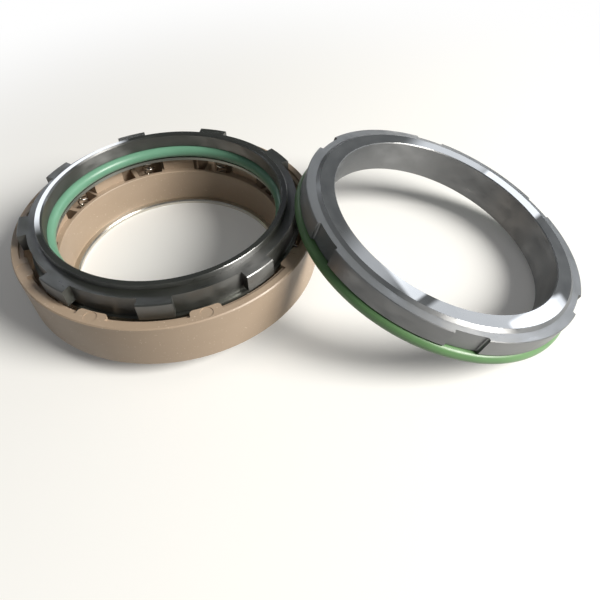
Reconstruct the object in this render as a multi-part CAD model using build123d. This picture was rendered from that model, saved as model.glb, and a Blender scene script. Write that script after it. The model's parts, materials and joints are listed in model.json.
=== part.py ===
from build123d import *
import math
import os

# Mechanical seal with two halves, in millimetres. The rotating head stands on its base with the
# shaft axis on +Z and the origin where that axis meets the surface it stands on. The stationary
# seat lies against the head: its O-ring on the surface, its back face on a segment of the seal ring.

# --- shaft and what closes on it ------------------------------------------------------------------
SHAFT_RADIUS = 50.0
BASE_RING_FIT = 0.1          # running clearance of the base ring on the shaft, on the radius
BASE_RING_WIDTH = 5.9        # radial width of the base ring
BASE_RING_HEIGHT = 2.0
BASE_RING_EDGE = 0.6         # chamfer round the base ring's inner edge
PRESS_SEAT_GAP = 0.05        # radial play of the base ring in its counterbore

# --- retainer, one moulding -----------------------------------------------------------------------
SLEEVE_BORE_GAP = 3.2        # shaft to sleeve bore, on the radius
SLEEVE_WALL = 1.8            # wall between the bore and the spring pockets
LAND_HEIGHT = 19.3           # from the foot to the flat that the pockets are sunk in
SLEEVE_EDGE = 0.3            # chamfer round the land's inner edge
FOOT_WALL = 3.5              # wall outside the base ring's counterbore
FOOT_HEIGHT = 8.4            # from the foot to the underside of the web
WEB_THICKNESS = 4.0          # floor under the pockets
BAND_HEIGHT = 23.3
BAND_WALL = 5.1              # wall of the band below its rim
RIM_WALL = 3.3               # thinner wall at the rim
RIM_DEPTH = 1.2              # height of the thin rim above the ledge
RIM_EDGE = 0.5               # chamfer on the rim's outer edge
BAND_FOOT_ROUND = 1.2        # bevel on the band's lower edge

# --- pitch that lugs, segments and springs share --------------------------------------------------
DRIVE_COUNT = 9
DRIVE_PITCH = 360.0 / DRIVE_COUNT
LUG_ANGLE = -27.7            # azimuth of the first lug
LUG_SPAN = 11.3              # degrees that one lug covers
LUG_RING_GAP = 2.9           # lug to the seal ring's wall, on the radius
LUG_CORNER = 1.6             # rounding of the lug's inner corners
EJECTOR_RADIUS = 2.7         # round ejector mark on each lug
EJECTOR_DEPTH = 0.25
EJECTOR_EDGE_GAP = 0.25      # from the lug's inner face to the mark
BLOCK_ANGLE = 3.1            # middle of the block between two pockets, in degrees from its lug
BLOCK_SPAN = 16.8
BLOCK_LEDGE = 1.6            # land left showing in front of a block
POCKET_ANGLE = 19.5          # middle of a spring pocket, in degrees from its lug
POCKET_SPAN = 13.2
SLOT_ANGLE = 31.5            # middle of the coring slot beside it
SLOT_SPAN = 6.4

# --- seal ring ------------------------------------------------------------------------------------
RING_BORE_GAP = 3.2          # shaft to seal ring bore, on the radius
NOSE_WIDTH = 3.1             # radial width of the running face
NOSE_HEIGHT = 2.7
NOSE_OUTER_EDGE = 0.3        # chamfers either side of the running face
NOSE_INNER_EDGE = 0.7
RING_WALL = 4.0              # radial wall outside the O-ring pocket
SEGMENT_REACH = 4.0          # how far a segment stands out from the ring's wall
SEGMENT_SPAN = 12.6
SEGMENT_HEIGHT = 7.9
SEGMENT_BAND_GAP = 0.4       # segment to the band's ledge, on the radius
SEGMENT_EDGE = 0.4
RING_EDGE = 0.4              # chamfer at the foot of the ring's wall
SEGMENT_LAG = 23.4           # degrees from a lug forward to the next segment's middle
SHOULDER_RISE = 4.0          # ring wall above the O-ring pocket, up to the shoulder

# --- head O-ring, thrust ring and springs ---------------------------------------------------------
HEAD_O_RING_SECTION = 5.7
HEAD_O_RING_SHAFT_GAP = 0.5  # as it sits in its pocket, on the radius
O_RING_POCKET_GAP = 0.3
THRUST_RING_GAP = 2.0        # shaft to thrust ring, on the radius
THRUST_RING_THICKNESS = 1.5
THRUST_LUG_GAP = 1.4         # thrust ring's outer edge to the lugs
SPRING_STROKE = 2.0          # how far the seal ring can be pushed in
STROKE_SPARE = 0.5           # gap that is left under the thrust ring at full stroke
SPRING_LENGTH = 14.9         # spring as fitted
SPRING_DIAMETER = 6.0
SPRING_WIRE = 0.9
SPRING_TURNS = 5.5
SPRING_END_GAP = 0.02        # wire to the face it bears on
SPRING_BOSS_GAP = 0.4        # boss to the inside of the coil
SPRING_BOSS_HEIGHT = 3.0
ROOT = 1.0                   # how deep a raised feature reaches into what carries it

# --- seat -----------------------------------------------------------------------------------------
SEAT_BORE_GAP = 4.3          # shaft to seat bore, on the radius
SEAT_FACE_WIDTH = 6.7        # lapped face
SEAT_HEIGHT = 16.3
SEAT_BEVEL_WIDTH = 1.6       # bevel between lapped face and shoulder
SEAT_BEVEL_DROP = 1.1
SEAT_FLANGE_WIDTH = 4.3      # shoulder outside the bevel
SEAT_FLANGE_HEIGHT = 8.9
SEAT_BORE_EDGE = 0.4
SEAT_FLANGE_EDGE = 0.3
SEAT_SPIGOT_EDGE = 0.8       # lead-in for the O-ring
SEAT_NOTCHES = 6
SEAT_NOTCH_SPAN = 12.5
SEAT_NOTCH_DEPTH = 1.6
SEAT_NOTCH_ROUND = 0.7       # rounding of a notch's inner corners
SEAT_NOTCH_ANGLE = -28.5     # first notch, in degrees from the seat's low side
SEAT_O_RING_SECTION = 5.3
SEAT_O_RING_SQUEEZE_GAP = 0.1
SEAT_O_RING_DROP = 0.25      # gap between flange and O-ring
SEAT_SPIGOT_WALL = 8.6       # wall of the seat inside its O-ring

# --- how the seat lies against the head -----------------------------------------------------------
LEAN_AZIMUTH = -4.4          # direction from the head to the seat
LEAN_OVERLAP = 0.4           # seat's back edge inside the seal ring's outline
LEAN_GAP = 0.2               # seat's back face over the segment that carries it

# --- derived sizes of the head, from the bottom up ------------------------------------------------
base_ring_bore = SHAFT_RADIUS + BASE_RING_FIT
base_ring_outer = base_ring_bore + BASE_RING_WIDTH
counterbore_radius = base_ring_outer + PRESS_SEAT_GAP
foot_radius = counterbore_radius + FOOT_WALL
sleeve_bore = SHAFT_RADIUS + SLEEVE_BORE_GAP
sleeve_outer = sleeve_bore + SLEEVE_WALL
head_o_ring_centre = SHAFT_RADIUS + HEAD_O_RING_SHAFT_GAP + HEAD_O_RING_SECTION / 2
pocket_radius = head_o_ring_centre + HEAD_O_RING_SECTION / 2 + O_RING_POCKET_GAP
ring_wall_radius = pocket_radius + RING_WALL
segment_radius = ring_wall_radius + SEGMENT_REACH
band_inner = segment_radius + SEGMENT_BAND_GAP
band_radius = band_inner + BAND_WALL
rim_inner = band_radius - RIM_WALL
lug_inner = ring_wall_radius + LUG_RING_GAP
band_top = FOOT_HEIGHT + BAND_HEIGHT
web_top = FOOT_HEIGHT + WEB_THICKNESS
thrust_bottom = web_top + SPRING_LENGTH
thrust_top = thrust_bottom + THRUST_RING_THICKNESS
block_top = thrust_bottom - SPRING_STROKE - STROKE_SPARE
thrust_bore = SHAFT_RADIUS + THRUST_RING_GAP
thrust_outer = lug_inner - THRUST_LUG_GAP
pocket_top = thrust_top + HEAD_O_RING_SECTION + 2 * O_RING_POCKET_GAP
ring_bore = SHAFT_RADIUS + RING_BORE_GAP
nose_outer = ring_bore + NOSE_WIDTH
shoulder_top = pocket_top + SHOULDER_RISE
nose_top = shoulder_top + NOSE_HEIGHT
spring_circle = (sleeve_outer + thrust_outer) / 2

# --- derived sizes of the seat, from its own back face --------------------------------------------
seat_bore = SHAFT_RADIUS + SEAT_BORE_GAP
seat_face_outer = seat_bore + SEAT_FACE_WIDTH
seat_shoulder_inner = seat_face_outer + SEAT_BEVEL_WIDTH
seat_flange_radius = seat_shoulder_inner + SEAT_FLANGE_WIDTH
seat_shoulder = SEAT_HEIGHT - SEAT_BEVEL_DROP
seat_flange_bottom = seat_shoulder - SEAT_FLANGE_HEIGHT
seat_spigot_radius = seat_bore + SEAT_SPIGOT_WALL
seat_o_ring_centre = seat_spigot_radius + SEAT_O_RING_SQUEEZE_GAP + SEAT_O_RING_SECTION / 2
seat_o_ring_height = seat_flange_bottom - SEAT_O_RING_DROP - SEAT_O_RING_SECTION / 2


def turned(points):
    """A ring turned about +Z from the closed outline (radius, height) of its section."""
    section = make_face(Plane.XZ * Polyline(*points, close=True))
    return revolve(section, Axis.Z, 360)


def torus_ring(centre_radius, section, height):
    """An O-ring, with its middle at the given height."""
    return Pos(0, 0, height) * Torus(centre_radius, section / 2)


def sector(inner, outer, middle_angle, span, bottom, top):
    """A solid piece of a ring wall, `span` degrees wide about `middle_angle`."""
    start = middle_angle - span / 2
    outline = [
        Line(polar(inner, start), polar(outer, start)),
        CenterArc((0, 0), outer, start, span),
        Line(polar(outer, start + span), polar(inner, start + span)),
        CenterArc((0, 0), inner, start + span, -span),
    ]
    face = make_face(Pos(0, 0, bottom) * Wire(outline))
    return extrude(face, top - bottom, dir=(0, 0, 1))


def polar(radius, degrees):
    """The point at this radius and azimuth."""
    return (radius * math.cos(math.radians(degrees)), radius * math.sin(math.radians(degrees)))


def circular_edges(part, radius, height):
    """The circular edges of `part` at this radius and height."""
    return [
        edge
        for edge in part.edges().filter_by(GeomType.CIRCLE)
        if abs(edge.radius - radius) < 1e-3 and abs(edge.center().Z - height) < 1e-3
    ]


def lug_angles():
    """Azimuth of every lug."""
    return [LUG_ANGLE + index * DRIVE_PITCH for index in range(DRIVE_COUNT)]


def make_base_ring():
    """Stainless ring in the foot of the retainer, the one part that runs close on the shaft."""
    return turned(
        [
            (base_ring_bore, 0),
            (base_ring_outer, 0),
            (base_ring_outer, BASE_RING_HEIGHT),
            (base_ring_bore + BASE_RING_EDGE, BASE_RING_HEIGHT),
            (base_ring_bore, BASE_RING_HEIGHT - BASE_RING_EDGE),
        ]
    )


def retainer_body():
    """Foot, sleeve, land and band of the retainer, turned in one."""
    return turned(
        [
            (counterbore_radius, 0),
            (foot_radius, 0),
            (foot_radius, FOOT_HEIGHT),
            (band_radius - BAND_FOOT_ROUND, FOOT_HEIGHT),
            (band_radius, FOOT_HEIGHT + BAND_FOOT_ROUND),
            (band_radius, band_top - RIM_EDGE),
            (band_radius - RIM_EDGE, band_top),
            (rim_inner, band_top),
            (rim_inner, band_top - RIM_DEPTH),
            (band_inner, band_top - RIM_DEPTH),
            (band_inner, LAND_HEIGHT),
            (sleeve_bore + SLEEVE_EDGE, LAND_HEIGHT),
            (sleeve_bore, LAND_HEIGHT - SLEEVE_EDGE),
            (sleeve_bore, BASE_RING_HEIGHT),
            (counterbore_radius, BASE_RING_HEIGHT),
        ]
    )


def make_lug(angle):
    """One drive lug, from the land up to the rim, with rounded inner corners."""
    lug = sector(lug_inner, band_radius - RIM_WALL / 2, angle, LUG_SPAN, LAND_HEIGHT - ROOT, band_top)
    corners = [
        edge
        for edge in lug.edges().filter_by(Axis.Z)
        if math.hypot(edge.center().X, edge.center().Y) < lug_inner + LUG_CORNER
    ]
    return fillet(corners, LUG_CORNER)


def make_block(angle):
    """The block that stands on the land between two spring pockets."""
    inner = sleeve_outer + BLOCK_LEDGE
    outer = band_inner + ROOT
    return sector(inner, outer, angle + BLOCK_ANGLE, BLOCK_SPAN, LAND_HEIGHT - ROOT, block_top)


def make_hollow(middle_angle, span):
    """What is cut from the land for a pocket or slot, down to the floor and out to the band."""
    return sector(sleeve_outer, band_inner, middle_angle, span, web_top, LAND_HEIGHT + ROOT)


def make_boss(angle):
    """The short peg that keeps one spring in the middle of its pocket."""
    x, y = polar(spring_circle, angle + POCKET_ANGLE)
    radius = SPRING_DIAMETER / 2 - SPRING_WIRE - SPRING_BOSS_GAP
    peg = Cylinder(radius, ROOT + SPRING_BOSS_HEIGHT, align=(Align.CENTER, Align.CENTER, Align.MIN))
    return Pos(x, y, web_top - ROOT) * peg


def make_retainer():
    """The moulded retainer: pockets and slots sunk in the land, lugs and blocks standing on it."""
    hollows = []
    raised = []
    marks = []
    mark_radius = lug_inner + EJECTOR_EDGE_GAP + EJECTOR_RADIUS
    for angle in lug_angles():
        hollows.append(make_hollow(angle + POCKET_ANGLE, POCKET_SPAN))
        hollows.append(make_hollow(angle + SLOT_ANGLE, SLOT_SPAN))
        raised.extend([make_lug(angle), make_block(angle), make_boss(angle)])
        x, y = polar(mark_radius, angle)
        marks.append(Pos(x, y, band_top) * Cylinder(EJECTOR_RADIUS, 2 * EJECTOR_DEPTH))
    return retainer_body() - hollows + raised - marks


def make_seal_ring():
    """Silicon carbide ring: nose, shoulder with drive segments, and the O-ring's pocket below."""
    body = turned(
        [
            (pocket_radius, thrust_top),
            (ring_wall_radius - RING_EDGE, thrust_top),
            (ring_wall_radius, thrust_top + RING_EDGE),
            (ring_wall_radius, shoulder_top),
            (nose_outer, shoulder_top),
            (nose_outer, nose_top - NOSE_OUTER_EDGE),
            (nose_outer - NOSE_OUTER_EDGE, nose_top),
            (ring_bore + NOSE_INNER_EDGE, nose_top),
            (ring_bore, nose_top - NOSE_INNER_EDGE),
            (ring_bore, pocket_top),
            (pocket_radius, pocket_top),
        ]
    )
    segments = []
    for angle in lug_angles():
        segment = sector(
            ring_wall_radius - RING_WALL / 2,
            segment_radius,
            angle + SEGMENT_LAG,
            SEGMENT_SPAN,
            shoulder_top - SEGMENT_HEIGHT,
            shoulder_top,
        )
        segments.append(chamfer(circular_edges(segment, segment_radius, shoulder_top), SEGMENT_EDGE))
    return body + segments


def make_thrust_ring():
    """Flat stainless ring between the springs and the back of the seal ring."""
    return turned(
        [
            (thrust_bore, thrust_bottom),
            (thrust_outer, thrust_bottom),
            (thrust_outer, thrust_top),
            (thrust_bore, thrust_top),
        ]
    )


def make_spring():
    """One coil spring, standing on the web between its turns' first and last bearing points."""
    coil_radius = (SPRING_DIAMETER - SPRING_WIRE) / 2
    rise = SPRING_LENGTH - SPRING_WIRE - 2 * SPRING_END_GAP
    path = Helix(rise / SPRING_TURNS, rise, coil_radius)
    section = Plane(origin=path @ 0, z_dir=path % 0) * Circle(SPRING_WIRE / 2)
    coil = sweep(section, path, is_frenet=True)
    return Pos(0, 0, web_top + SPRING_WIRE / 2 + SPRING_END_GAP) * coil


def make_notch(angle):
    """What is cut from the seat's flange for one anti-rotation notch, round at its inner corners."""
    floor_radius = seat_flange_radius - SEAT_NOTCH_DEPTH
    past = SEAT_NOTCH_DEPTH
    notch = sector(
        floor_radius,
        seat_flange_radius + past,
        angle,
        SEAT_NOTCH_SPAN,
        seat_flange_bottom - past,
        seat_shoulder + past,
    )
    corners = [
        edge
        for edge in notch.edges().filter_by(Axis.Z)
        if math.hypot(edge.center().X, edge.center().Y) < seat_flange_radius
    ]
    return fillet(corners, SEAT_NOTCH_ROUND)


def make_seat_ring():
    """The seat in its own frame: back face on z = 0, lapped face on top, notches round the flange."""
    body = turned(
        [
            (seat_bore + SEAT_BORE_EDGE, 0),
            (seat_spigot_radius - SEAT_SPIGOT_EDGE, 0),
            (seat_spigot_radius, SEAT_SPIGOT_EDGE),
            (seat_spigot_radius, seat_flange_bottom),
            (seat_flange_radius - SEAT_FLANGE_EDGE, seat_flange_bottom),
            (seat_flange_radius, seat_flange_bottom + SEAT_FLANGE_EDGE),
            (seat_flange_radius, seat_shoulder - SEAT_FLANGE_EDGE),
            (seat_flange_radius - SEAT_FLANGE_EDGE, seat_shoulder),
            (seat_shoulder_inner, seat_shoulder),
            (seat_face_outer, SEAT_HEIGHT),
            (seat_bore + SEAT_BORE_EDGE, SEAT_HEIGHT),
            (seat_bore, SEAT_HEIGHT - SEAT_BORE_EDGE),
            (seat_bore, SEAT_BORE_EDGE),
        ]
    )
    return body - [make_notch(SEAT_NOTCH_ANGLE + index * 360 / SEAT_NOTCHES) for index in range(SEAT_NOTCHES)]


def seat_place():
    """Where the seat lies: O-ring down on the surface, back face over a segment of the seal ring."""
    carried_at = shoulder_top + LEAN_GAP
    lean = 0.3
    for _ in range(30):
        corner_height = carried_at + LEAN_OVERLAP * math.tan(lean)
        rise = corner_height - SEAT_O_RING_SECTION / 2 + seat_o_ring_height * math.cos(lean)
        lean = math.asin(rise / (seat_o_ring_centre + seat_spigot_radius))
    height = (
        seat_o_ring_centre * math.sin(lean)
        - seat_o_ring_height * math.cos(lean)
        + SEAT_O_RING_SECTION / 2
    )
    distance = segment_radius - LEAN_OVERLAP + seat_spigot_radius * math.cos(lean)
    along = Vector(1, 0, 0).rotate(Axis.Z, LEAN_AZIMUTH)
    down_slope = along * math.cos(lean) - Vector(0, 0, math.sin(lean))
    axis = along * math.sin(lean) + Vector(0, 0, math.cos(lean))
    origin = along * distance + Vector(0, 0, height)
    print(f"seat leans {math.degrees(lean):.2f} degrees, centre {origin}, axis {axis}")
    return Plane(origin=origin, x_dir=down_slope, z_dir=axis).location


def build():
    """Every piece by the name of its node."""
    pieces = {
        "base_ring": make_base_ring(),
        "retainer": make_retainer(),
        "thrust_ring": make_thrust_ring(),
        "head_o_ring": torus_ring(
            head_o_ring_centre,
            HEAD_O_RING_SECTION,
            thrust_top + O_RING_POCKET_GAP + HEAD_O_RING_SECTION / 2,
        ),
        "seal_ring": make_seal_ring(),
    }
    spring = make_spring()
    for index, angle in enumerate(lug_angles(), start=1):
        x, y = polar(spring_circle, angle + POCKET_ANGLE)
        pieces[f"spring_{index:02d}"] = Pos(x, y, 0) * Rot(0, 0, angle) * spring
    place = seat_place()
    pieces["seat_ring"] = place * make_seat_ring()
    pieces["seat_o_ring"] = place * torus_ring(
        seat_o_ring_centre, SEAT_O_RING_SECTION, seat_o_ring_height
    )
    return pieces


os.makedirs("parts", exist_ok=True)
for name, piece in build().items():
    export_step(piece, f"parts/{name}.step")
    print(name, "volume", round(piece.volume), "mm3")
print(f"head {nose_top:.2f} mm high, shoulder {shoulder_top:.2f}, thrust ring {thrust_bottom:.2f}")
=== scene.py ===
# %% [markdown]
# # A mechanical seal, from bare solids to a finished look
# A mechanical seal keeps liquid inside a pump where the shaft comes out. It has two halves. The
# rotating head has a dark carbide ring, pressed forward by nine small springs in a moulded
# retainer. The stationary seat is a carbide ring with a lapped face, and an O-ring holds it in
# the housing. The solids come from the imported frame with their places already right, so this
# lesson only dresses them: camera, floor, light, and then one finish after another.

# %% Load the frame
import bpy
import json
import math
from mathutils import Euler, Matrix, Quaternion, Vector


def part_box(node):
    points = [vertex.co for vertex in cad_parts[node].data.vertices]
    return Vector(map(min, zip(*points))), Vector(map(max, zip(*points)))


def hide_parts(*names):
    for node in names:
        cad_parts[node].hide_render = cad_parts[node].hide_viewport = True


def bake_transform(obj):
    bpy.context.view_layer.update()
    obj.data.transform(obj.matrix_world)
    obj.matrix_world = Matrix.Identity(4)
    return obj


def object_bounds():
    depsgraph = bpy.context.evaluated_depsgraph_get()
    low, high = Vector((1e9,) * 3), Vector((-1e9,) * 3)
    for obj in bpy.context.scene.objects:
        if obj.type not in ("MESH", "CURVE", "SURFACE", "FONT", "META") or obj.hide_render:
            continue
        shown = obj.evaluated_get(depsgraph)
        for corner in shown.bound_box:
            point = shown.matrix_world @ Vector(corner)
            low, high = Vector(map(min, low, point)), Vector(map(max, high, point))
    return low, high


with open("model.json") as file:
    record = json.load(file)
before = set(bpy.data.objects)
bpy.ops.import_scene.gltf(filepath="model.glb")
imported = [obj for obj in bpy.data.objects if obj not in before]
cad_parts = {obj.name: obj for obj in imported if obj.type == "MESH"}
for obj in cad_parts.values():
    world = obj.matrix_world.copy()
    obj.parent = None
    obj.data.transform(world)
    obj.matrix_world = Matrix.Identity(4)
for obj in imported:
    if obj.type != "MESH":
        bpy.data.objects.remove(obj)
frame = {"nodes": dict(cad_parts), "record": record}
cad_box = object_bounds()
scene = bpy.context.scene
MM = 0.001
print("nodes:", ", ".join(sorted(frame["nodes"])))
print("box of the solids in mm:", [[round(v / MM, 1) for v in corner] for corner in cad_box])

# %% [markdown]
# The seat leans on the head, so its finish needs its own axis and centre. The record's mount
# for the seat's bore has both. Its position is where the bore proper starts, just above the
# chamfer of the back face.

# %% Where each half has its axis
mounts = {mount["name"]: mount for mount in frame["record"]["mounts"]}
seat_place = Vector(mounts["seat_bore"]["pos_m"])
seat_axis = Vector(mounts["seat_bore"]["axis"]).normalized()
seat_turn = Vector((0, 0, 1)).rotation_difference(seat_axis)
seat_points = frame["nodes"]["seat_ring"].data.vertices
seat_face_height = max((point.co - seat_place).dot(seat_axis) for point in seat_points)
head_face_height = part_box("seal_ring")[1].z
middle = (cad_box[0] + cad_box[1]) / 2
print("seat leans by", round(math.degrees(seat_turn.angle), 2), "degrees")
print("lapped faces at", round(seat_face_height / MM, 2), "and", round(head_face_height / MM, 2), "mm")

# %% [markdown]
# ## Two helpers
# Colours are written as sRGB hex, the way a colour chart gives them, and Blender's sockets want
# linear light, so one function turns the first into the second. The other adds a node to a tree
# with its settings and its inputs, where an input is either a plain value or another node's
# output. Settings that several nodes share have a name.

# %% Colour and node helpers
WHITE = "#ffffff"
COLOURS = {"data_type": "RGBA"}
SMOOTH_STEP = {"interpolation_type": "SMOOTHSTEP"}
PLUS = {"operation": "ADD"}
MINUS = {"operation": "SUBTRACT"}
TIMES = {"operation": "MULTIPLY"}
TIMES_PLUS = {"operation": "MULTIPLY_ADD"}
TO_DEGREES = {"operation": "DEGREES"}


def linear(hex_colour):
    """Linear red, green, blue and alpha of a colour written as #rrggbb in sRGB."""
    channels = [int(hex_colour[i : i + 2], 16) / 255 for i in (1, 3, 5)]
    # The numbers are those of the sRGB standard: a short straight part, then a curve.
    light = [c / 12.92 if c <= 0.04045 else ((c + 0.055) / 1.055) ** 2.4 for c in channels]
    return (*light, 1.0)


def add(tree, kind, settings=(), **inputs):
    """A new node of this kind. Inputs are by name, or in0, in1 ... by place; each a value or an output."""
    node = tree.nodes.new(kind)
    for name, value in dict(settings).items():
        setattr(node, name, value)
    for name, value in inputs.items():
        key = int(name[2:]) if name[:2] == "in" and name[2:].isdigit() else name.replace("_", " ")
        socket = node.inputs[key]
        if isinstance(value, bpy.types.NodeSocket):
            tree.links.new(value, socket)
        else:
            socket.default_value = value
    return node


print("a mid grey in linear light:", [round(v, 3) for v in linear("#808080")])

# %% [markdown]
# ## Camera
# A close three-quarter view from above, as one looks at a part on a bench. The aim point and a
# small roll say where it looks, so the numbers stay readable.

# %% Camera
CAMERA_PLACE = Vector((0.0619, -0.1921, 0.1828))
CAMERA_AIM = Vector((0.05955, -0.0482, 0.020))
CAMERA_ROLL = math.radians(-1.25)
CAMERA_LENS = 30.84
CAMERA_SENSOR = 36           # width of a full-frame sensor, in mm as the lens is
CAMERA_SHIFT_X = 0.0077      # slides the picture without turning the camera
CAMERA_SHIFT_Y = 0.010

camera = bpy.data.objects.new("camera", bpy.data.cameras.new("camera"))
scene.collection.objects.link(camera)
camera.data.lens = CAMERA_LENS
camera.data.sensor_width = CAMERA_SENSOR
camera.data.shift_x = CAMERA_SHIFT_X
camera.data.shift_y = CAMERA_SHIFT_Y
camera.rotation_mode = "QUATERNION"
camera.location = CAMERA_PLACE
look = (CAMERA_AIM - CAMERA_PLACE).to_track_quat("-Z", "Y")
camera.rotation_quaternion = look @ Quaternion((0, 0, 1), CAMERA_ROLL)
scene.camera = camera
scene.view_settings.view_transform = "Standard"
print("camera", round((CAMERA_AIM - CAMERA_PLACE).length / MM), "mm from its aim point")

# %% [markdown]
# ## World and floor
# The world is plain white to the eye and a softer white as fill light, so that a lit side comes
# out about as its colour is written. Reflections of the room come from the dome further down.
# The floor is pale and matt. A little light of its own, seen only by the eye and in reflections,
# lifts it towards the white of the background and still leaves the object's shadow on it.

# %% World
FILL_STRENGTH = 0.16
world = bpy.data.worlds.new("studio")
world.use_nodes = True
world.node_tree.nodes.clear()
scene.world = world


def seen_directly(tree):
    """1 for rays from the eye, off gloss or through glass, and 0 for rays of diffuse light."""
    path = add(tree, "ShaderNodeLightPath").outputs
    either = {"operation": "ADD", "use_clamp": True}
    seen = add(tree, "ShaderNodeMath", either, in0=path["Is Camera Ray"], in1=path["Is Glossy Ray"])
    seen = add(tree, "ShaderNodeMath", either, in0=seen.outputs[0], in1=path["Is Transmission Ray"])
    return seen.outputs[0]


tree = world.node_tree
strength = add(tree, "ShaderNodeMapRange", in0=seen_directly(tree), To_Min=FILL_STRENGTH, To_Max=1.0)
sky = add(tree, "ShaderNodeBackground", Color=linear(WHITE), Strength=strength.outputs[0])
add(tree, "ShaderNodeOutputWorld", Surface=sky.outputs[0])
print("fill light", FILL_STRENGTH)

# %% Floor
FLOOR_RADIUS = 2.5
FLOOR_GAP = 0.05 * MM        # under the object, so that the two never share a plane
FLOOR_LIFT = 0.07            # light of its own
FLOOR_SEEN = "#efefed"
FLOOR_PASSED_ON = "#8c8a86"
FADE_FROM = 0.14             # metres from the object where the floor starts to turn white
FADE_TO = 0.42


def disc(name, radius, height, sides=96):
    """A flat round sheet about the origin, facing up."""
    mesh = bpy.data.meshes.new(name)
    turns = [2 * math.pi * i / sides for i in range(sides)]
    rim = [(radius * math.cos(turn), radius * math.sin(turn), height) for turn in turns]
    mesh.from_pydata(rim, [], [tuple(range(sides))])
    sheet = bpy.data.objects.new(name, mesh)
    scene.collection.objects.link(sheet)
    return sheet


floor = disc("floor", FLOOR_RADIUS, cad_box[0].z - FLOOR_GAP)
floor_paint = bpy.data.materials.new("matt_white_card")
floor_paint.use_nodes = True
tree = floor_paint.node_tree
tree.nodes.clear()
seen = seen_directly(tree)
lift = add(tree, "ShaderNodeMath", TIMES, in0=seen, in1=FLOOR_LIFT)
glow = add(tree, "ShaderNodeEmission", Color=linear(WHITE), Strength=lift.outputs[0])
# To the object's diffuse light the card is darker than to the eye. A white one would throw up so
# much light that the low and shaded walls lost their depth.
tone = add(tree, "ShaderNodeMix", COLOURS, in0=seen, in6=linear(FLOOR_PASSED_ON), in7=linear(FLOOR_SEEN))
card = add(tree, "ShaderNodeBsdfDiffuse", Color=tone.outputs[2])
both = add(tree, "ShaderNodeAddShader", in0=card.outputs[0], in1=glow.outputs[0])
# Further out the card turns into the white of the background, so that no horizon shows.
spot = add(tree, "ShaderNodeTexCoord").outputs["Object"]
how_far = {"operation": "DISTANCE"}
distance = add(tree, "ShaderNodeVectorMath", how_far, in0=spot, in1=(middle.x, middle.y, 0)).outputs["Value"]
away = add(tree, "ShaderNodeMapRange", SMOOTH_STEP, in0=distance, From_Min=FADE_FROM, From_Max=FADE_TO)
fade = add(tree, "ShaderNodeMath", TIMES, in0=away.outputs[0], in1=seen)
white = add(tree, "ShaderNodeEmission", Color=linear(WHITE), Strength=1.0)
faded = add(tree, "ShaderNodeMixShader", in0=fade.outputs[0], in1=both.outputs[0], in2=white.outputs[0])
add(tree, "ShaderNodeOutputMaterial", Surface=faded.outputs[0])
floor.data.materials.append(floor_paint)
print("floor at", round(floor.data.vertices[0].co.z / MM, 3), "mm")

# %% [markdown]
# ## Light
# One large soft lamp from the front right gives the form: walls that face it are light, and those
# that face left fall into shade. Polished carbide and steel show the room more than the lamp, so
# a dim dome with a few bright panels stands round the scene. It is seen only in reflections, as
# reflector cards are in a product studio, and lights nothing that is matt. The panels are placed
# for the camera above: each stands where the lapped face sends that line of sight. From any other
# side the same panels give chance reflections.

# %% Key lamp
KEY_AZIMUTH = math.radians(-20)
KEY_ELEVATION = math.radians(35.5)
KEY_DISTANCE = 1.7
KEY_SIZE = 0.85
KEY_POWER = 48.0

key = bpy.data.objects.new("key_lamp", bpy.data.lights.new("key_lamp", "AREA"))
scene.collection.objects.link(key)
key.data.shape = "DISK"
key.data.size = KEY_SIZE
key.data.energy = KEY_POWER
key.data.color = linear("#fffcf6")[:3]
level = math.cos(KEY_ELEVATION)
towards = Vector((level * math.cos(KEY_AZIMUTH), level * math.sin(KEY_AZIMUTH), math.sin(KEY_ELEVATION)))
key.location = middle + towards * KEY_DISTANCE
key.rotation_mode = "QUATERNION"
key.rotation_quaternion = (-towards).to_track_quat("-Z", "Y")
print("key lamp", KEY_POWER, "W at", round(KEY_DISTANCE, 2), "m")

# %% Reflection dome
DOME_RADIUS = 20.0
DOME_COLOUR = "#eef3fa"
DOME_DIM = 0.14              # strength between the panels
DOME_RINGS = 16
DOME_SIDES = 48
# Each panel: azimuth from and to, elevation from and to, softness of the edge (degrees), strength.
PANELS = {
    "tall_window": (44.95, 51.8, 8.0, 29.5, 0.3, 4.2),
    "second_pane": (51.8, 59.4, 8.0, 24.0, 1.2, 2.6),
    "upper_pane": (48.0, 55.5, 27.5, 34.0, 2.5, 1.7),
    "low_window": (20.0, 37.0, 17.1, 22.6, 0.3, 4.2),
    "pale_wall": (20.0, 43.5, 17.8, 30.0, 0.4, 2.6),
    "window_sill": (20.0, 43.9, 8.0, 17.4, 0.4, 0.12),
    "back_window": (111.0, 125.0, 27.5, 34.5, 1.0, 5.5),
    "side_window": (148.0, 164.0, 24.0, 40.0, 3.0, 0.9),
}

dome = bpy.data.objects.new("reflection_dome", bpy.data.meshes.new("reflection_dome"))
scene.collection.objects.link(dome)
points = [(0, 0, DOME_RADIUS)]
for i in range(1, DOME_RINGS + 1):
    drop = math.pi / 2 * i / DOME_RINGS
    out = DOME_RADIUS * math.sin(drop)
    for j in range(DOME_SIDES):
        turn = 2 * math.pi * j / DOME_SIDES
        points.append((out * math.cos(turn), out * math.sin(turn), DOME_RADIUS * math.cos(drop)))
faces = [(0, 1 + j, 1 + (j + 1) % DOME_SIDES) for j in range(DOME_SIDES)]
for i in range(DOME_RINGS - 1):
    for j in range(DOME_SIDES):
        here = 1 + i * DOME_SIDES + j
        beside = 1 + i * DOME_SIDES + (j + 1) % DOME_SIDES
        faces.append((here, here + DOME_SIDES, beside + DOME_SIDES, beside))
dome.data.from_pydata(points, [], faces)

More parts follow.
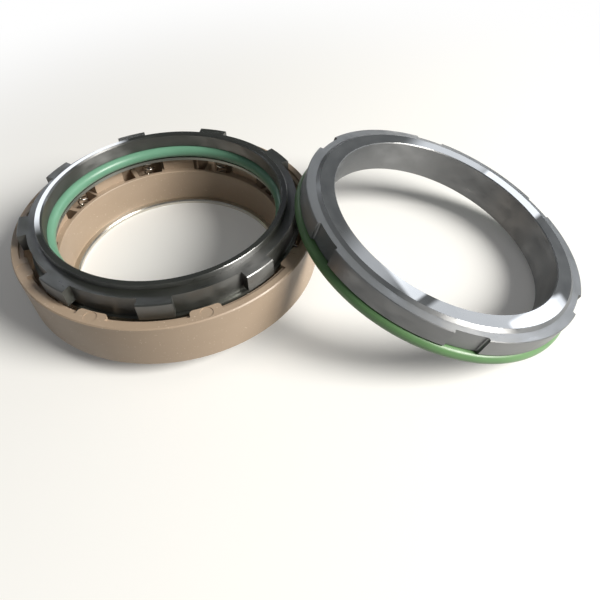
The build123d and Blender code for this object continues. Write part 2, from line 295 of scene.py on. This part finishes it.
dome_paint = bpy.data.materials.new("studio_panels")
dome_paint.use_nodes = True
dome_paint.cycles.emission_sampling = "NONE"
tree = dome_paint.node_tree
tree.nodes.clear()
spot = add(tree, "ShaderNodeTexCoord").outputs["Object"]
direction = add(tree, "ShaderNodeVectorMath", {"operation": "NORMALIZE"}, in0=spot)
xyz = add(tree, "ShaderNodeSeparateXYZ", in0=direction.outputs[0]).outputs
azimuth = add(tree, "ShaderNodeMath", {"operation": "ARCTAN2"}, in0=xyz["Y"], in1=xyz["X"])
azimuth = add(tree, "ShaderNodeMath", TO_DEGREES, in0=azimuth.outputs[0]).outputs[0]
elevation = add(tree, "ShaderNodeMath", {"operation": "ARCSINE"}, in0=xyz["Z"])
elevation = add(tree, "ShaderNodeMath", TO_DEGREES, in0=elevation.outputs[0]).outputs[0]


def between(tree, value, low, high, soft):
    """1 where value is between low and high, with soft edges, and 0 elsewhere."""
    up = add(tree, "ShaderNodeMapRange", SMOOTH_STEP, in0=value, From_Min=low - soft, From_Max=low + soft)
    down = add(tree, "ShaderNodeMapRange", SMOOTH_STEP, in0=value, From_Min=high + soft, From_Max=high - soft)
    return add(tree, "ShaderNodeMath", TIMES, in0=up.outputs[0], in1=down.outputs[0]).outputs[0]


light = DOME_DIM
for az_from, az_to, el_from, el_to, soft, power in PANELS.values():
    across = between(tree, azimuth, az_from, az_to, soft)
    upward = between(tree, elevation, el_from, el_to, soft)
    panel = add(tree, "ShaderNodeMath", TIMES, in0=across, in1=upward).outputs[0]
    light = add(tree, "ShaderNodeMath", TIMES_PLUS, in0=panel, in1=power, in2=light).outputs[0]
glow = add(tree, "ShaderNodeEmission", Color=linear(DOME_COLOUR), Strength=light)
add(tree, "ShaderNodeOutputMaterial", Surface=glow.outputs[0])
dome.data.materials.append(dome_paint)
dome.visible_camera = False
dome.visible_diffuse = False
dome.visible_shadow = False
dome.visible_transmission = False
dome.visible_volume_scatter = False
print("dome with", len(PANELS), "panels")

# %% [markdown]
# ## Finishes
# Every finish reads Object coordinates, which stay put on a piece however it moves. A ring was
# turned, ground or moulded about its own axis, so its marks run round that axis. The next helper
# gives coordinates for that: how far round, how far out and how high, all in metres. For the seat
# they are first turned into its own leaning frame.

# %% Ring coordinates
TYPICAL_RADIUS = 60 * MM     # turns an angle into a length round the ring
QUARTER_TURN = 0.25          # lays a stretched highlight across the marks that cause it


def ring_coordinates(tree, place=Vector(), turn=Euler()):
    """Local position, (round, out, up) about the piece's own axis, height, and the way round."""
    spot = add(tree, "ShaderNodeTexCoord").outputs["Object"]
    into_its_frame = {"vector_type": "TEXTURE"}
    local = add(tree, "ShaderNodeMapping", into_its_frame, Vector=spot, Location=place, Rotation=turn)
    xyz = add(tree, "ShaderNodeSeparateXYZ", in0=local.outputs[0]).outputs
    angle = add(tree, "ShaderNodeMath", {"operation": "ARCTAN2"}, in0=xyz["Y"], in1=xyz["X"])
    round_way = add(tree, "ShaderNodeMath", TIMES, in0=angle.outputs[0], in1=TYPICAL_RADIUS)
    flat_way = add(tree, "ShaderNodeCombineXYZ", X=xyz["X"], Y=xyz["Y"])
    out_way = add(tree, "ShaderNodeVectorMath", {"operation": "LENGTH"}, in0=flat_way.outputs[0])
    ring = add(tree, "ShaderNodeCombineXYZ", X=round_way.outputs[0], Y=out_way.outputs["Value"], Z=xyz["Z"])
    axis = Vector((0, 0, 1))
    axis.rotate(turn)
    from_axis = add(tree, "ShaderNodeVectorMath", MINUS, in0=spot, in1=place)
    across = {"operation": "CROSS_PRODUCT"}
    way_round = add(tree, "ShaderNodeVectorMath", across, in0=axis, in1=from_axis.outputs[0]).outputs[0]
    return local.outputs[0], ring.outputs[0], xyz["Z"], way_round


def finish_tree(name):
    """An empty material with this name, and its node tree."""
    material = bpy.data.materials.new(name)
    material.use_nodes = True
    material.node_tree.nodes.clear()
    return material, material.node_tree


def grain(tree, vector, size, stretch=1.0, detail=2.0):
    """Soft random mottling of this size in metres, drawn out along the first axis by stretch."""
    scaled = add(tree, "ShaderNodeMapping", Vector=vector, Scale=(1 / stretch, 1, 1)).outputs[0]
    noise = add(tree, "ShaderNodeTexNoise", Vector=scaled, Scale=1 / size, Detail=detail)
    return noise.outputs["Fac"]


def dress(material, *names):
    """Puts the material on these nodes of the frame."""
    for name in names:
        node = frame["nodes"][name]
        node.data.materials.clear()
        node.data.materials.append(material)
    print(material.name, "on", ", ".join(names))


# %% [markdown]
# ### Retainer: PEEK, injection moulded
# Polyetheretherketone is a warm beige brown, stiff and slightly waxy. Moulding leaves it satin,
# with faint clouds where the melt flowed and a fine grain from the tool. So: a plain colour with
# clouds some centimetres long, a roughness that wanders a little, and a shallow grain bump.

# %% Moulded PEEK
PEEK_COLOUR = "#b29e8a"
PEEK_SHADE = "#a28f7a"
PEEK_SPECK = "#c9b8a4"
PEEK_SATIN = (0.34, 0.52)    # roughness from and to
PEEK_IOR = 1.55
FLOW_CLOUD = 14 * MM
SATIN_PATCH = 5 * MM
SPECK = 0.9 * MM             # pale flecks in the skin
SPECK_FROM = 0.68            # only the highest tips of the noise become flecks
SPECK_TO = 0.74
TOOL_GRAIN = 0.5 * MM        # the real grain is nearer 0.1 mm and would not show
TOOL_GRAIN_DEPTH = 0.05 * MM
TOOL_GRAIN_STRENGTH = 0.12

peek, tree = finish_tree("moulded_peek")
local, ring, _, _ = ring_coordinates(tree)
clouds = grain(tree, ring, FLOW_CLOUD, stretch=3.0, detail=3.0)
tint = add(tree, "ShaderNodeMix", COLOURS, in0=clouds, in6=linear(PEEK_SHADE), in7=linear(PEEK_COLOUR))
tips = grain(tree, local, SPECK)
specks = add(tree, "ShaderNodeMapRange", in0=tips, From_Min=SPECK_FROM, From_Max=SPECK_TO).outputs[0]
tint = add(tree, "ShaderNodeMix", COLOURS, in0=specks, in6=tint.outputs[2], in7=linear(PEEK_SPECK))
gloss = grain(tree, ring, SATIN_PATCH)
satin = add(tree, "ShaderNodeMapRange", in0=gloss, To_Min=PEEK_SATIN[0], To_Max=PEEK_SATIN[1])
bump = add(
    tree,
    "ShaderNodeBump",
    Height=grain(tree, local, TOOL_GRAIN),
    Strength=TOOL_GRAIN_STRENGTH,
    Distance=TOOL_GRAIN_DEPTH,
)
shell = add(
    tree,
    "ShaderNodeBsdfPrincipled",
    Base_Color=tint.outputs[2],
    Roughness=satin.outputs[0],
    Normal=bump.outputs[0],
    IOR=PEEK_IOR,
)
add(tree, "ShaderNodeOutputMaterial", Surface=shell.outputs[0])
dress(peek, "retainer")

# %% [markdown]
# ### Both rings: sintered silicon carbide, ground, with one lapped face each
# Silicon carbide is a near black ceramic with a high refractive index. Clean and polished, it
# mirrors a fifth of the light that falls straight on it, so the lapped face looks like dark
# glass. The shine is turned down here to about a sixth, which looked closer to the real rings.
# Grinding leaves marks round the ring, which spread a reflection into soft streaks. One function
# makes both rings. It tells the lapped face from the rest by its height along the ring's own axis.

# %% Silicon carbide
CARBIDE_IOR = 2.65
GRINDING_MARK = 0.35 * MM    # wheel marks are finer, drawn as coarse as they need to show
GRINDING_DEPTH = 0.02 * MM
GRINDING_STRENGTH = 0.35
GRINDING_SPREAD = 0.8        # how far the marks stretch a highlight
GRINDING_DULLS = 0.16        # roughness that a mark adds
CARBIDE_PATCH = 6 * MM       # where the wheel cut a little deeper or less
PATCH_FROM = 0.3             # part of the noise that the range of gloss is spread over
PATCH_TO = 0.7
LAPPED_ROUGHNESS = 0.012
LAPPED_DEPTH = 0.04 * MM     # how far under the face still counts as the face


def carbide(name, place, turn, face_height, dark, pale, ground_gloss, shine):
    """Silicon carbide ring. Ground all over, lapped where it is as high as its face."""
    material, tree = finish_tree(name)
    _, ring, height, way_round = ring_coordinates(tree, place, turn)
    above = {"operation": "GREATER_THAN"}
    lapped = add(tree, "ShaderNodeMath", above, in0=height, in1=face_height - LAPPED_DEPTH).outputs[0]
    patches = grain(tree, ring, CARBIDE_PATCH, stretch=2.0, detail=7.0)
    marks = grain(tree, ring, GRINDING_MARK, stretch=40.0, detail=1.0)
    tone = add(tree, "ShaderNodeMix", COLOURS, in0=patches, in6=linear(dark), in7=linear(pale))
    ground = add(
        tree,
        "ShaderNodeMapRange",
        in0=patches,
        From_Min=PATCH_FROM,
        From_Max=PATCH_TO,
        To_Min=ground_gloss[0],
        To_Max=ground_gloss[1],
    )
    streaked = add(tree, "ShaderNodeMath", TIMES_PLUS, in0=marks, in1=GRINDING_DULLS, in2=ground.outputs[0])
    rough = add(tree, "ShaderNodeMix", in0=lapped, in2=streaked.outputs[0], in3=LAPPED_ROUGHNESS)
    depth = add(tree, "ShaderNodeMapRange", in0=lapped, To_Min=GRINDING_STRENGTH, To_Max=0.0)
    bump = add(tree, "ShaderNodeBump", Height=marks, Strength=depth.outputs[0], Distance=GRINDING_DEPTH)
    shell = add(
        tree,
        "ShaderNodeBsdfPrincipled",
        Base_Color=tone.outputs[2],
        Roughness=rough.outputs[0],
        Normal=bump.outputs[0],
        IOR=CARBIDE_IOR,
        Specular_IOR_Level=shine,
        Anisotropic=GRINDING_SPREAD,
        Anisotropic_Rotation=QUARTER_TURN,
        Tangent=way_round,
    )
    add(tree, "ShaderNodeOutputMaterial", Surface=shell.outputs[0])
    return material


seal_carbide = carbide(
    "ground_silicon_carbide",
    place=Vector(),
    turn=Euler(),
    face_height=head_face_height,
    dark="#11130e",
    pale="#2d2f28",
    ground_gloss=(0.20, 0.46),
    shine=0.40,
)
dress(seal_carbide, "seal_ring")
seat_carbide = carbide(
    "lapped_silicon_carbide",
    place=seat_place,
    turn=seat_turn.to_euler(),
    face_height=seat_face_height,
    dark="#313437",
    pale="#5c5f61",
    ground_gloss=(0.20, 0.48),
    shine=0.42,
)
dress(seat_carbide, "seat_ring")

# %% [markdown]
# ### O-rings: fluorocarbon rubber, press moulded
# Green fluorocarbon rubber comes out of the press with a silky skin: a broad soft highlight along
# the top of the ring and a faint bloom. The two rings are of slightly different green. A thin
# line where the halves of the mould met runs round the inside, too fine to matter here.

# %% Fluorocarbon rubber
BLOOM_PATCH = 9 * MM
SILK_PATCH = 2 * MM
RUBBER_SILK = (0.26, 0.42)   # roughness from and to
RUBBER_IOR = 1.5
RUBBER_GRAIN = 0.4 * MM      # the mould's own grain is finer and would not show
RUBBER_GRAIN_DEPTH = 0.05 * MM
RUBBER_GRAIN_STRENGTH = 0.08


def rubber(name, place, turn, colour, bloom):
    """Moulded rubber: one green, a paler bloom in patches, a silky surface with a very fine grain."""
    material, tree = finish_tree(name)
    local, ring, _, _ = ring_coordinates(tree, place, turn)
    patches = grain(tree, ring, BLOOM_PATCH, stretch=2.5, detail=3.0)
    tone = add(tree, "ShaderNodeMix", COLOURS, in0=patches, in6=linear(colour), in7=linear(bloom))
    gloss = grain(tree, ring, SILK_PATCH)
    silky = add(tree, "ShaderNodeMapRange", in0=gloss, To_Min=RUBBER_SILK[0], To_Max=RUBBER_SILK[1])
    bump = add(
        tree,
        "ShaderNodeBump",
        Height=grain(tree, local, RUBBER_GRAIN),
        Strength=RUBBER_GRAIN_STRENGTH,
        Distance=RUBBER_GRAIN_DEPTH,
    )
    shell = add(
        tree,
        "ShaderNodeBsdfPrincipled",
        Base_Color=tone.outputs[2],
        Roughness=silky.outputs[0],
        Normal=bump.outputs[0],
        IOR=RUBBER_IOR,
    )
    add(tree, "ShaderNodeOutputMaterial", Surface=shell.outputs[0])
    return material


dress(rubber("head_rubber", Vector(), Euler(), "#5d8c73", "#74a48a"), "head_o_ring")
dress(rubber("seat_rubber", seat_place, seat_turn.to_euler(), "#4c7047", "#76a06c"), "seat_o_ring")

# %% [markdown]
# ### Base ring and thrust ring: stainless steel
# The base ring is turned and polished, so its marks run round it and its edge catches a bright
# line. The thrust ring is punched from strip and tumbled, which leaves it duller all over.

# %% Stainless steel
STEEL_SPREAD = 0.7           # how far the marks stretch a highlight
STEEL_MARK_DEPTH = 0.02 * MM
STEEL_MARK_STRENGTH = 0.15


def stainless(name, colour, smooth, dull, mark):
    """Bright steel with marks that run round the ring."""
    material, tree = finish_tree(name)
    _, ring, _, way_round = ring_coordinates(tree)
    marks = grain(tree, ring, mark, stretch=60.0, detail=1.0)
    polish = add(tree, "ShaderNodeMapRange", in0=marks, To_Min=smooth, To_Max=dull)
    bump = add(
        tree, "ShaderNodeBump", Height=marks, Strength=STEEL_MARK_STRENGTH, Distance=STEEL_MARK_DEPTH
    )
    shell = add(
        tree,
        "ShaderNodeBsdfPrincipled",
        Base_Color=linear(colour),
        Metallic=1.0,
        Roughness=polish.outputs[0],
        Normal=bump.outputs[0],
        Anisotropic=STEEL_SPREAD,
        Anisotropic_Rotation=QUARTER_TURN,
        Tangent=way_round,
    )
    add(tree, "ShaderNodeOutputMaterial", Surface=shell.outputs[0])
    return material


turned_steel = stainless("turned_stainless", "#d4d0c7", smooth=0.22, dull=0.38, mark=0.25 * MM)
dress(turned_steel, "base_ring")
tumbled_steel = stainless("tumbled_stainless", "#8f918a", smooth=0.34, dull=0.5, mark=0.5 * MM)
dress(tumbled_steel, "thrust_ring")

# %% [markdown]
# ## Springs
# Nine equal coil springs stand on one circle. A coil follows a rule and so does the circle, which
# makes this a job for Geometry Nodes: a spiral, a round wire along it, one copy per pocket. Real
# compression springs end in a closed turn that lies flat. A smooth step for the rise gives that:
# it climbs slowly at both ends and fast in the middle, where the solids' plain coils climb evenly.
# Places and outer sizes are measured from the solids. Wire and turns don't show in a box, so they
# are written here as the solids have them.

# %% Spring sizes
spring_names = sorted(name for name in frame["nodes"] if name.startswith("spring_"))
low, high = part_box(spring_names[0])
spring_middle = (low + high) / 2
WIRE = 0.9 * MM
SPRING_TURNS = 5.5
STEPS_PER_TURN = 36
WIRE_SIDES = 12
spring_length = high.z - low.z
coil_radius = ((high.x - low.x) + (high.y - low.y)) / 4 - WIRE / 2
pitch_radius = math.hypot(spring_middle.x, spring_middle.y)
first_angle = math.atan2(spring_middle.y, spring_middle.x)
print("spring", round(spring_length / MM, 2), "mm long, coil radius", round(coil_radius / MM, 2), "mm")
print("on a circle of radius", round(pitch_radius / MM, 2), "mm")

# %% Spring steel
# Drawn through a die and stress relieved: bright, with a very slight straw tint.
WIRE_COLOUR = "#d9d3ca"
WIRE_PATCH = 0.8 * MM
WIRE_ROUGHNESS = (0.14, 0.26)

wire_finish, tree = finish_tree("drawn_spring_wire")
spot = add(tree, "ShaderNodeTexCoord").outputs["Object"]
gloss = grain(tree, spot, WIRE_PATCH)
polish = add(tree, "ShaderNodeMapRange", in0=gloss, To_Min=WIRE_ROUGHNESS[0], To_Max=WIRE_ROUGHNESS[1])
shell = add(
    tree,
    "ShaderNodeBsdfPrincipled",
    Base_Color=linear(WIRE_COLOUR),
    Metallic=1.0,
    Roughness=polish.outputs[0],
)
add(tree, "ShaderNodeOutputMaterial", Surface=shell.outputs[0])

# %% Node tree for the springs
springs_tree = bpy.data.node_groups.new("springs_on_a_circle", "GeometryNodeTree")
sockets = {
    "Count": ("NodeSocketInt", len(spring_names)),
    "Circle Radius": ("NodeSocketFloat", pitch_radius),
    "First Angle": ("NodeSocketFloat", first_angle),
    "Coil Radius": ("NodeSocketFloat", coil_radius),
    "Wire": ("NodeSocketFloat", WIRE),
    "Turns": ("NodeSocketFloat", SPRING_TURNS),
    "Length": ("NodeSocketFloat", spring_length),
    "Foot Height": ("NodeSocketFloat", low.z),
}
identifiers = {}
for name, (kind, _) in sockets.items():
    socket = springs_tree.interface.new_socket(name, in_out="INPUT", socket_type=kind)
    identifiers[name] = socket.identifier
springs_tree.interface.new_socket("Geometry", in_out="OUTPUT", socket_type="NodeSocketGeometry")
tree = springs_tree
given = add(tree, "NodeGroupInput").outputs
spiral = add(
    tree,
    "GeometryNodeCurveSpiral",
    Resolution=STEPS_PER_TURN,
    Rotations=given["Turns"],
    Start_Radius=given["Coil Radius"],
    End_Radius=given["Coil Radius"],
    Height=1.0,
)
position = add(tree, "ShaderNodeSeparateXYZ", in0=add(tree, "GeometryNodeInputPosition").outputs[0]).outputs
wire_radius = add(tree, "ShaderNodeMath", TIMES, in0=given["Wire"], in1=0.5).outputs[0]
bottom = add(tree, "ShaderNodeMath", PLUS, in0=given["Foot Height"], in1=wire_radius).outputs[0]
travel = add(tree, "ShaderNodeMath", MINUS, in0=given["Length"], in1=given["Wire"]).outputs[0]
top = add(tree, "ShaderNodeMath", PLUS, in0=bottom, in1=travel).outputs[0]
rise = add(tree, "ShaderNodeMapRange", SMOOTH_STEP, in0=position["Z"], To_Min=bottom, To_Max=top)
placed = add(tree, "ShaderNodeCombineXYZ", X=position["X"], Y=position["Y"], Z=rise.outputs[0])
coil = add(tree, "GeometryNodeSetPosition", Geometry=spiral.outputs[0], Position=placed.outputs[0])
section = add(tree, "GeometryNodeCurvePrimitiveCircle", Resolution=WIRE_SIDES, Radius=wire_radius)
wire = add(
    tree, "GeometryNodeCurveToMesh", Curve=coil.outputs[0], Profile_Curve=section.outputs[0], Fill_Caps=True
)
circle = add(tree, "GeometryNodeMeshCircle", Vertices=given["Count"], Radius=given["Circle Radius"])
turned = add(tree, "ShaderNodeCombineXYZ", Z=given["First Angle"])
pockets = add(tree, "GeometryNodeTransform", Geometry=circle.outputs[0], Rotation=turned.outputs[0])
copies = add(tree, "GeometryNodeInstanceOnPoints", Points=pockets.outputs[0], Instance=wire.outputs[0])
solid = add(tree, "GeometryNodeRealizeInstances", Geometry=copies.outputs[0])
smooth = add(tree, "GeometryNodeSetShadeSmooth", Geometry=solid.outputs[0])
finished = add(tree, "GeometryNodeSetMaterial", Geometry=smooth.outputs[0], Material=wire_finish)
add(tree, "NodeGroupOutput", in0=finished.outputs[0])
print("tree with", len(tree.nodes), "nodes and", len(identifiers), "named inputs")

# %% [markdown]
# The inputs are set by the sockets' identifiers before the object is first evaluated. The result
# becomes a plain mesh, which is what the frame's calls and the export expect. In the real seal,
# when the seal ring is pushed in, the springs' feet stay on the retainer and their heads follow
# the seal ring.

# %% Springs as one mesh
maker = bpy.data.objects.new("spring_maker", bpy.data.meshes.new("spring_maker"))
scene.collection.objects.link(maker)
modifier = maker.modifiers.new("springs", "NODES")
modifier.node_group = springs_tree
for name, (_, value) in sockets.items():
    modifier[identifiers[name]] = value
evaluated = maker.evaluated_get(bpy.context.evaluated_depsgraph_get())
springs = bpy.data.objects.new("coil_springs", bpy.data.meshes.new_from_object(evaluated))
scene.collection.objects.link(springs)
bpy.data.objects.remove(maker)
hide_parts(*spring_names)
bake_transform(springs)
print("springs:", len(springs.data.polygons), "faces")
